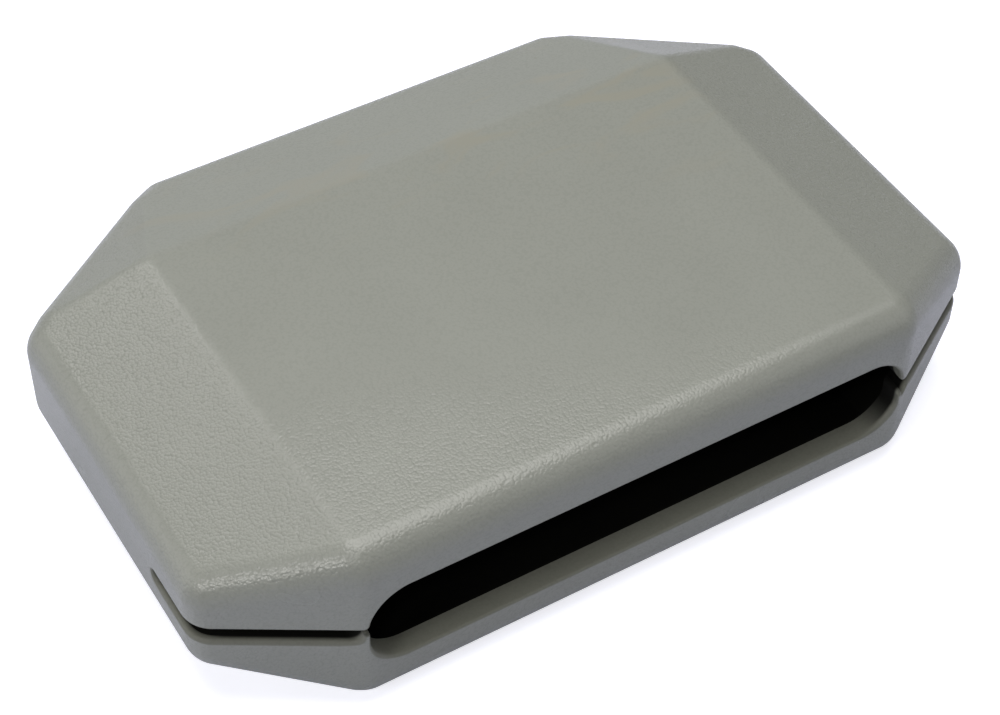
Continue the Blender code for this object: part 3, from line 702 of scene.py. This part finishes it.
def geometry_tree(name, kind, labels):
    """An empty Geometry Nodes tree with a geometry and named inputs of one kind, and what it is given."""
    tree = bpy.data.node_groups.new(name, "GeometryNodeTree")
    tree.interface.new_socket("Geometry", in_out="INPUT", socket_type="NodeSocketGeometry")
    for label in labels:
        tree.interface.new_socket(label, in_out="INPUT", socket_type=kind)
    tree.interface.new_socket("Finish", in_out="INPUT", socket_type="NodeSocketMaterial")
    tree.interface.new_socket("Geometry", in_out="OUTPUT", socket_type="NodeSocketGeometry")
    return tree, tree.nodes.new("NodeGroupInput").outputs


def end_tree(tree, geometry, finish):
    """Realize the copies, give them their finish and lead them out of the tree."""
    real = node(tree, "GeometryNodeRealizeInstances", {"Geometry": geometry}).outputs[0]
    dressed = node(tree, "GeometryNodeSetMaterial", {"Geometry": real, "Material": finish}).outputs[0]
    tree.links.new(dressed, tree.nodes.new("NodeGroupOutput").inputs[0])
    return tree


def fastener_pair():
    """The same fastener set twice, left and right on the bracket."""
    tree, given = geometry_tree("fastener_pair", "NodeSocketVector", ["Left", "Right"])
    line = node(tree, "GeometryNodeMeshLine", {0: 2, 2: given["Left"], 3: given["Right"]}, mode="END_POINTS")
    copies = node(tree, "GeometryNodeInstanceOnPoints",
                  {"Points": line.outputs[0], "Instance": given["Geometry"]})
    return end_tree(tree, copies.outputs[0], given["Finish"])


pair_tree = fastener_pair()


def grow(piece, tree, **values):
    """Run a Geometry Nodes tree on a piece with its named inputs set, and keep the result as a plain mesh."""
    step = piece.modifiers.new(tree.name, "NODES")
    step.node_group = tree
    for item in tree.interface.items_tree:
        if item.in_out == "INPUT" and item.name in values:
            step[item.identifier] = values[item.name]
    settle(piece)


def set_pair(piece, low_z, finish):
    """Set a fastener made on the Z axis at both screw places, its origin at a height."""
    left, right = ((x, y, low_z) for x, y in screw_places)
    grow(piece, pair_tree, Left=left, Right=right, Finish=finish)
    even_shading(piece)


half_insert, half_bore = insert_diameter / 2, insert_bore / 2
knurl_root, bore_mouth = half_insert - insert_edge, half_bore + insert_edge
band = (insert_length - knurl_gap) / 2
insert_profile = [(bore_mouth, 0.0), (knurl_root, 0.0)]
for low, high in ((0.0, band), (band + knurl_gap, insert_length)):
    insert_profile += [(knurl_root, low + insert_edge / 2), (half_insert, low + insert_edge, knurl_deep),
                       (half_insert, high - insert_edge, knurl_deep), (knurl_root, high - insert_edge / 2)]
insert_profile += [(knurl_root, insert_length), (bore_mouth, insert_length),
                   (half_bore, insert_length - insert_edge), (half_bore, insert_edge)]
inserts = solid("brass_sleeves", turned(insert_profile, knurl_points), finishes=(turned_brass,))
set_pair(inserts, bay_ceiling_z, turned_brass)
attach(inserts, "block")
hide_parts("threaded_insert_left", "threaded_insert_right")

# Clamp bracket: a channel bent from 2 mm zinc-plated steel sheet. Its back plate takes the bolt, and its two
# flanges have V notches in front that the stand rod is drawn into. Two screws hold its upper flange to the
# bay's roof.
bracket_sheet, bracket_half_width, bracket_bend = 0.0020, 0.0145, 0.0030
bracket_front_y, bracket_rear_y, bracket_low_z, bracket_top_z = 0.0360, 0.0500, 0.0006, 0.0130
notch_apex_y, notch_reach = 0.04192, 0.0093
bolt_z, bolt_hole, screw_hole, driver_hole = 0.0068, 0.0066, 0.0041, 0.0080
stamped_edge = 0.00025
zinc_plate = handled_metal("zinc_plated_steel", (0.66, 0.66, 0.64), (0.52, 0.52, 0.51), 0.30, 0.000004)


def steel(name, bm):
    """A bmesh made into an object of zinc-plated steel."""
    return solid(name, bm, finishes=(zinc_plate,))


def soften(piece, radius, segments=2, angle=35.0):
    """Round the edges of a stamped or turned piece that are sharper than an angle."""
    edges = piece.modifiers.new("edges", "BEVEL")
    edges.limit_method = "ANGLE"
    edges.angle_limit = math.radians(angle)
    edges.width = radius
    edges.segments = segments
    settle(piece)
    even_shading(piece)


bend_inside, bend_steps = bracket_bend - bracket_sheet, 10
bend_y = bracket_rear_y - bracket_bend
low_bend, top_bend = (bend_y, bracket_low_z + bracket_bend), (bend_y, bracket_top_z - bracket_bend)
section = [(bracket_front_y, bracket_low_z)]
section += arc(low_bend, bracket_bend, 270, 360, bend_steps) + arc(top_bend, bracket_bend, 0, 90, bend_steps)
section += [(bracket_front_y, bracket_top_z), (bracket_front_y, bracket_top_z - bracket_sheet)]
section += arc(top_bend, bend_inside, 90, 0, bend_steps) + arc(low_bend, bend_inside, 360, 270, bend_steps)
section += [(bracket_front_y, bracket_low_z + bracket_sheet)]
side_line = [(-bracket_half_width, y, z) for y, z in section]
bracket = steel("bent_channel", prism(side_line, (2 * bracket_half_width, 0, 0)))
notch_front_y = notch_apex_y - notch_reach
notch = [(0, notch_apex_y, -far), (-notch_reach, notch_front_y, -far), (notch_reach, notch_front_y, -far)]
carve(bracket, steel("notch", prism(notch, (0, 0, 2 * far))))
carve(bracket, steel("bolt_way", bar(bolt_hole, (0, bend_y, bolt_z), (0, far, bolt_z))))
for x, y in screw_places:
    carve(bracket, steel("screw_way", bar(screw_hole, (x, y, bolt_z), (x, y, far))))
    carve(bracket, steel("driver_way", bar(driver_hole, (x, y, -far), (x, y, bolt_z))))
soften(bracket, stamped_edge)
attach(bracket, "block")
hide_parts("clamp_bracket")

# Lock washers: two split rings of zinc-plated spring steel, flat when tight. Each sits on a screw between its
# head and the bracket's upper flange.
lock_outer, lock_inner, lock_thick, lock_low_z = 0.0064, 0.0041, 0.0008, 0.0099
lock_open, lock_slant, lock_steps, lock_edge = 7.0, 9.0, 72, 0.00012


def split_ring():
    """A flat ring of square wire with a slanted cut through it."""
    bm = bmesh.new()
    wire = ((lock_inner, 0.0), (lock_outer, 0.0), (lock_outer, 1.0), (lock_inner, 1.0))
    rows = []
    for step in range(lock_steps + 1):
        turn = lock_open + step / lock_steps * (360 - 2 * lock_open)
        row = []
        for diameter, high in wire:
            angle, reach = math.radians(turn + lock_slant * (high - 0.5)), diameter / 2
            row.append(bm.verts.new((reach * math.cos(angle), reach * math.sin(angle), high * lock_thick)))
        rows.append(row)
    for first, second in zip(rows, rows[1:]):
        for k in range(len(wire)):
            after = (k + 1) % len(wire)
            bm.faces.new((first[k], first[after], second[after], second[k]))
    bm.faces.new(rows[0])
    bm.faces.new(rows[-1])
    return bm


lock_rings = steel("split_rings", split_ring())
soften(lock_rings, lock_edge)
set_pair(lock_rings, lock_low_z, zinc_plate)
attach(lock_rings, "block")
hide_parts("lock_washer_left", "lock_washer_right")

# Bracket screws: two pan-head machine screws of zinc-plated steel with a cross recess, driven up from below
# through the holes in the bracket's lower flange, through its upper flange and into the brass sleeves.
screw_diameter, screw_length, screw_pitch, screw_seat_z = 0.0035, 0.0075, 0.0006, 0.0096
screw_plain, thread_rows, thread_share, thread_sides = 0.0012, 10, 0.55, 48
head_diameter, head_height, head_round, head_edge = 0.0064, 0.0022, 0.0012, 0.0002
recess_long, recess_wide, recess_deep, recess_past = 0.0036, 0.0009, 0.0014, 0.0001
recess_mouth, recess_floor = 1.05, 0.55


def thread_cut():
    """A screw thread pressed into a round bar along Z: a V-shaped helix that runs out at both ends."""
    tree, given = geometry_tree("thread_cut", "NodeSocketFloat", ["Pitch", "Depth", "Start", "End"])
    place = node(tree, "GeometryNodeInputPosition").outputs[0]
    x, y, z = node(tree, "ShaderNodeSeparateXYZ", {0: place}).outputs
    angle = sum_of(tree, sum_of(tree, y, x, "ARCTAN2"), 2 * math.pi, "DIVIDE")
    turns = sum_of(tree, sum_of(tree, z, given["Pitch"], "DIVIDE"), angle, "SUBTRACT")
    groove = sum_of(tree, turns, 0.5, "PINGPONG")
    runs_in = sum_of(tree, sum_of(tree, z, given["Start"], "SUBTRACT"), given["Pitch"], "DIVIDE", True)
    runs_out = sum_of(tree, sum_of(tree, given["End"], z, "SUBTRACT"), given["Pitch"], "DIVIDE", True)
    share = sum_of(tree, groove, sum_of(tree, runs_in, runs_out, "MULTIPLY"), "MULTIPLY")
    deep = sum_of(tree, share, sum_of(tree, given["Depth"], -2.0, "MULTIPLY"), "MULTIPLY")
    flat = node(tree, "ShaderNodeCombineXYZ", {0: x, 1: y}).outputs[0]
    shift = vector_of(tree, "SCALE", {0: vector_of(tree, "NORMALIZE", {0: flat}), "Scale": deep})
    cut = node(tree, "GeometryNodeSetPosition", {"Geometry": given["Geometry"], "Offset": shift})
    return end_tree(tree, cut.outputs[0], given["Finish"])


thread_tree = thread_cut()


def threaded_bar(name, diameter, pitch, low, high, thread_low, point=0.0004):
    """A round steel bar along Z whose upper part, to its pointed end, has a thread."""
    rows = max(2, int((high - point - thread_low) / pitch * thread_rows))
    profile = [(0.0, low), (diameter / 2, low)]
    profile += [(diameter / 2, float(z)) for z in np.linspace(thread_low, high - point, rows)]
    profile += [(diameter / 2 - point, high), (0.0, high)]
    made = steel(name, turned(profile, thread_sides))
    grow(made, thread_tree, Pitch=pitch, Depth=thread_share * pitch, Start=thread_low, End=high,
         Finish=zinc_plate)
    return made


def recess_bar(long_x, long_y):
    """One bar of the cross recess, narrower at its floor than at its mouth."""
    bm = bmesh.new()
    corners = [(x * long_x / 2, y * long_y / 2) for x, y in ((-1, -1), (1, -1), (1, 1), (-1, 1))]
    ends = ((recess_mouth, -head_height - recess_past), (recess_floor, recess_deep - head_height))
    mouth, bottom = ([bm.verts.new((x * share, y * share, z)) for x, y in corners] for share, z in ends)
    for k in range(len(corners)):
        after = (k + 1) % len(corners)
        bm.faces.new((mouth[k], mouth[after], bottom[after], bottom[k]))
    bm.faces.new(mouth)
    bm.faces.new(bottom)
    return bm


screws = threaded_bar("pan_head_screws", screw_diameter, screw_pitch, -head_height / 2, screw_length,
                      screw_plain)
head_profile = [(0.0, 0.0), (head_diameter / 2 - head_edge, 0.0), (head_diameter / 2, -head_edge)]
head_profile += arc((head_diameter / 2 - head_round, head_round - head_height), head_round, 0, -90, 8)
head_profile += [(0.0, -head_height)]
carve(screws, steel("screw_head", turned(head_profile)), "UNION")
carve(screws, steel("recess", recess_bar(recess_long, recess_wide)))
carve(screws, steel("recess", recess_bar(recess_wide, recess_long)))
set_pair(screws, screw_seat_z, zinc_plate)
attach(screws, "block")
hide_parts("bracket_screw_left", "bracket_screw_right")

# Eye bolt: a forged eye of zinc-plated steel that goes round the stand rod, with an M6 shank to the rear
# through the bracket. The wing nut draws it back, and the thread keeps it from sliding loose.
eye_y, eye_bore, eye_ring, eye_thick, eye_square = 0.0340, 0.0104, 0.0034, 0.0056, 0.62
eye_steps, eye_sides = 32, 96
bolt_diameter, bolt_pitch, bolt_end_y, thread_from_y = 0.0059, 0.0010, 0.0635, 0.0470
neck_long, neck_flare = 0.0034, 0.0016
forging_voxel, forging_smooth = 0.00028, 6
up_to_rear = Matrix.Rotation(math.radians(-90), 4, "X")


def squared(turn):
    """Cosine and sine of an angle pushed out towards a square with round corners."""
    return [math.copysign(abs(value) ** eye_square, value) for value in (math.cos(turn), math.sin(turn))]


def forge(piece, voxel, smooth):
    """Melt the joined parts of a forging or casting into one skin with soft inner corners."""
    skin = piece.modifiers.new("skin", "REMESH")
    skin.mode = "VOXEL"
    skin.voxel_size = voxel
    ease = piece.modifiers.new("ease", "SMOOTH")
    ease.factor = 0.5
    ease.iterations = smooth
    settle(piece)


ring_middle = (eye_bore + eye_ring) / 2
ring_profile = []
for step in range(eye_steps):
    across, tall = squared(2 * math.pi * step / eye_steps)
    ring_profile.append((ring_middle + eye_ring / 2 * across, eye_thick / 2 * tall))
eye = steel("forged_eye", turned(ring_profile, eye_sides))
neck = bar(eye_thick + neck_flare, (0, ring_middle, 0), (0, ring_middle + neck_long, 0),
           end_diameter=bolt_diameter)
carve(eye, steel("neck", neck), "UNION")
carve(eye, steel("neck_trim", slab((-far, -far, -eye_thick / 2), (far, far, eye_thick / 2))), "INTERSECT")
forge(eye, forging_voxel, forging_smooth)
shank = threaded_bar("shank", bolt_diameter, bolt_pitch, ring_middle, bolt_end_y - eye_y,
                     thread_from_y - eye_y)
shank.data.transform(up_to_rear)
carve(eye, shank, "UNION")
eye.data.transform(Matrix.Translation((0, eye_y, bolt_z)))
even_shading(eye)
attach(eye, "eye_bolt")
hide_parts("eye_bolt")

# Plain washer: a ring stamped from zinc-plated steel sheet, its outer edges tumbled round. It sits loose on
# the bolt between the bracket's back plate and the wing nut.
washer_outer, washer_inner, washer_thick, washer_y, washer_round = 0.0118, 0.0066, 0.0012, 0.0503, 0.0003
washer_sides, washer_steps = 72, 5
round_middle = washer_outer / 2 - washer_round
washer_profile = [(washer_inner / 2, washer_thick), (washer_inner / 2, 0.0)]
washer_profile += arc((round_middle, washer_round), washer_round, -90, 0, washer_steps)
washer_profile += arc((round_middle, washer_thick - washer_round), washer_round, 0, 90, washer_steps)
washer = steel("stamped_washer", turned(washer_profile, washer_sides))
washer.data.transform(Matrix.Translation((0, washer_y, bolt_z)) @ up_to_rear)
even_shading(washer)
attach(washer, "block")
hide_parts("plain_washer")

# Wing nut: a zinc-plated casting with a tapered hub and two round wings for finger and thumb. It turns on the
# bolt behind the bracket and draws the eye back.
nut_y, nut_length, nut_seat, nut_nose = 0.0518, 0.0092, 0.0114, 0.0098
nut_bore, nut_round = 0.0066, 0.0008
countersink, countersink_deep, countersink_past = 0.0078, 0.0010, 0.0002
wing_offset, wing_length, wing_width, wing_thick = 0.0072, 0.0130, 0.0072, 0.0028
wing_tilt, wing_steps = math.radians(35.0), 48
casting_voxel, casting_smooth = 0.00030, 7
hub_profile = [(0.0, 0.0), (nut_seat / 2 - nut_round / 2, 0.0), (nut_seat / 2, nut_round / 2),
               (nut_seat / 2, nut_round), (nut_nose / 2, nut_length - nut_round),
               (nut_nose / 2 - nut_round, nut_length), (0.0, nut_length)]
nut = steel("cast_wing_nut", turned(hub_profile))
nut.data.transform(up_to_rear)
for side in (-1, 1):
    outline = []
    for step in range(wing_steps):
        angle = 2 * math.pi * step / wing_steps
        along, across = wing_length / 2 * math.cos(angle), wing_width / 2 * math.sin(angle)
        out = wing_offset + along * math.cos(wing_tilt) - across * math.sin(wing_tilt)
        rear = nut_length + along * math.sin(wing_tilt) + across * math.cos(wing_tilt)
        outline.append((side * out, rear, -wing_thick / 2))
    carve(nut, steel("wing", prism(outline, (0, 0, wing_thick))), "UNION")
forge(nut, casting_voxel, casting_smooth)
carve(nut, steel("nut_bore", bar(nut_bore, (0, -nut_length, 0), (0, 3 * nut_length, 0))))
carve(nut, steel("countersink", bar(nut_bore, (0, nut_length - countersink_deep, 0),
                                    (0, nut_length + countersink_past, 0), end_diameter=countersink)))
nut.data.transform(Matrix.Translation((0, nut_y, bolt_z)))
even_shading(nut)
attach(nut, "wing_nut")
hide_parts("wing_nut")

# Upper shell: the other half, moulded as a mirror image, with the struck top and the upper lip of the mouth.
# A tongue along its rim sits in the lower shell's groove, where the halves are bonded.
upper = solid("upper_shell_moulding", rounded_block(0.0, edge_radius, *edge_steps))
carve(upper, solid("below_seam", slab((-far, -far, -far), (far, far, seam_z + hairline_half)), RIM))
carve(upper, opening())
carve(upper, solid("upper_hollow", rounded_block(wall, inner_radius, *inner_steps), INSIDE))
tongue = rim_strip(tongue_inset, tongue_thick, seam_z - tongue_deep, seam_z + wall / 2, tongue_front_y)
carve(upper, tongue, "UNION")
even_shading(upper)
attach(upper, "block")
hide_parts("upper_shell")

# Studio: a plain pale paper floor that the camera sees as white, soft lamps overhead and on all sides, and a
# camera that looks down on the mouth's side of the block. None of it belongs to the object.
floor_half, floor_low_z = 3.0, -0.0001
paper_colour, paper_glow_colour = (0.68, 0.70, 0.82, 1.0), (0.97, 0.97, 1.0, 1.0)
paper_roughness, paper_specular, paper_seen_glow, paper_mirrored_glow = 0.9, 0.1, 0.72, 0.05
sky_colour, sky_strength = (0.85, 0.92, 1.0, 1.0), 0.03
floor_bm = bmesh.new()
bmesh.ops.create_grid(floor_bm, x_segments=1, y_segments=1, size=floor_half)
bmesh.ops.translate(floor_bm, verts=floor_bm.verts, vec=(0.0, 0.0, floor_low_z))
floor_paper = bpy.data.materials.new("floor_paper")
floor_paper.use_nodes = True
paper_tree = floor_paper.node_tree
paper = paper_tree.nodes["Principled BSDF"].inputs
paper["Base Color"].default_value = paper_colour
paper["Roughness"].default_value = paper_roughness
paper["Specular IOR Level"].default_value = paper_specular
paper["Emission Color"].default_value = paper_glow_colour
light_path = node(paper_tree, "ShaderNodeLightPath").outputs
seen = sum_of(paper_tree, light_path["Is Camera Ray"], paper_seen_glow, "MULTIPLY")
mirrored = sum_of(paper_tree, light_path["Is Glossy Ray"], paper_mirrored_glow, "MULTIPLY")
paper_tree.links.new(sum_of(paper_tree, seen, mirrored), paper["Emission Strength"])
floor = solid("floor", floor_bm, finishes=(floor_paper,))

world = bpy.data.worlds.new("studio")
bpy.context.scene.world = world
world.use_nodes = True
sky = world.node_tree.nodes["Background"].inputs
sky["Color"].default_value = sky_colour
sky["Strength"].default_value = sky_strength


def soft_lamp(name, place, size, power, colour):
    """A round area lamp that faces the middle of the block."""
    light = bpy.data.lights.new(name, "AREA")
    light.shape = "DISK"
    light.size = size
    light.energy = power
    light.color = colour
    lamp = bpy.data.objects.new(name, light)
    lamp.location = place
    lamp.rotation_euler = (Vector((0.0, 0.0, seam_z)) - Vector(place)).to_track_quat("-Z", "Y").to_euler()
    bpy.context.collection.objects.link(lamp)


lamp_white, lamp_cool = (1.0, 0.98, 0.96), (0.90, 0.95, 1.0)
soft_lamp("overhead_lamp", (0.05, 0.08, 0.80), 0.75, 5.6, lamp_white)
soft_lamp("left_lamp", (-0.66, -0.256, 0.534), 0.28, 1.7, lamp_white)
soft_lamp("front_left_lamp", (-0.345, -0.442, 0.673), 0.09, 0.45, lamp_white)
soft_lamp("right_lamp", (0.75, -0.55, 0.45), 0.80, 1.1, lamp_white)
soft_lamp("rear_left_lamp", (-0.75, 0.40, 0.30), 0.60, 1.1, lamp_white)
soft_lamp("high_rear_left_lamp", (-0.22, 0.57, 0.59), 0.18, 0.55, lamp_white)
soft_lamp("rear_lamp", (0.35, 1.10, 0.35), 1.00, 1.1, lamp_cool)

lens_pixels, image_wide, sensor = 2390.93, 1000.0, 36.0
camera_turn, camera_rise, camera_roll = (math.radians(angle) for angle in (-31.5543, 47.2464, 1.0145))
camera_aim, camera_distance = Vector((-0.0042515, -0.0112441, seam_z)), 0.450017
back = Vector((math.sin(camera_turn) * math.cos(camera_rise), -math.cos(camera_turn) * math.cos(camera_rise),
               math.sin(camera_rise)))
level = (-back).cross(Vector((0.0, 0.0, 1.0))).normalized()
upward = level.cross(-back)
camera_right = level * math.cos(camera_roll) + upward * math.sin(camera_roll)
camera_up = upward * math.cos(camera_roll) - level * math.sin(camera_roll)
camera_data = bpy.data.cameras.new("camera")
camera_data.sensor_width = sensor
camera_data.lens = sensor * lens_pixels / image_wide
camera_data.clip_start, camera_data.clip_end = 0.01, 20.0
camera = bpy.data.objects.new("camera", camera_data)
camera_place = Matrix.Translation(camera_aim + back * camera_distance)
camera.matrix_world = camera_place @ Matrix((camera_right, camera_up, back)).transposed().to_4x4()
bpy.context.collection.objects.link(camera)
bpy.context.scene.camera = camera
bpy.context.scene.view_settings.view_transform = "Standard"
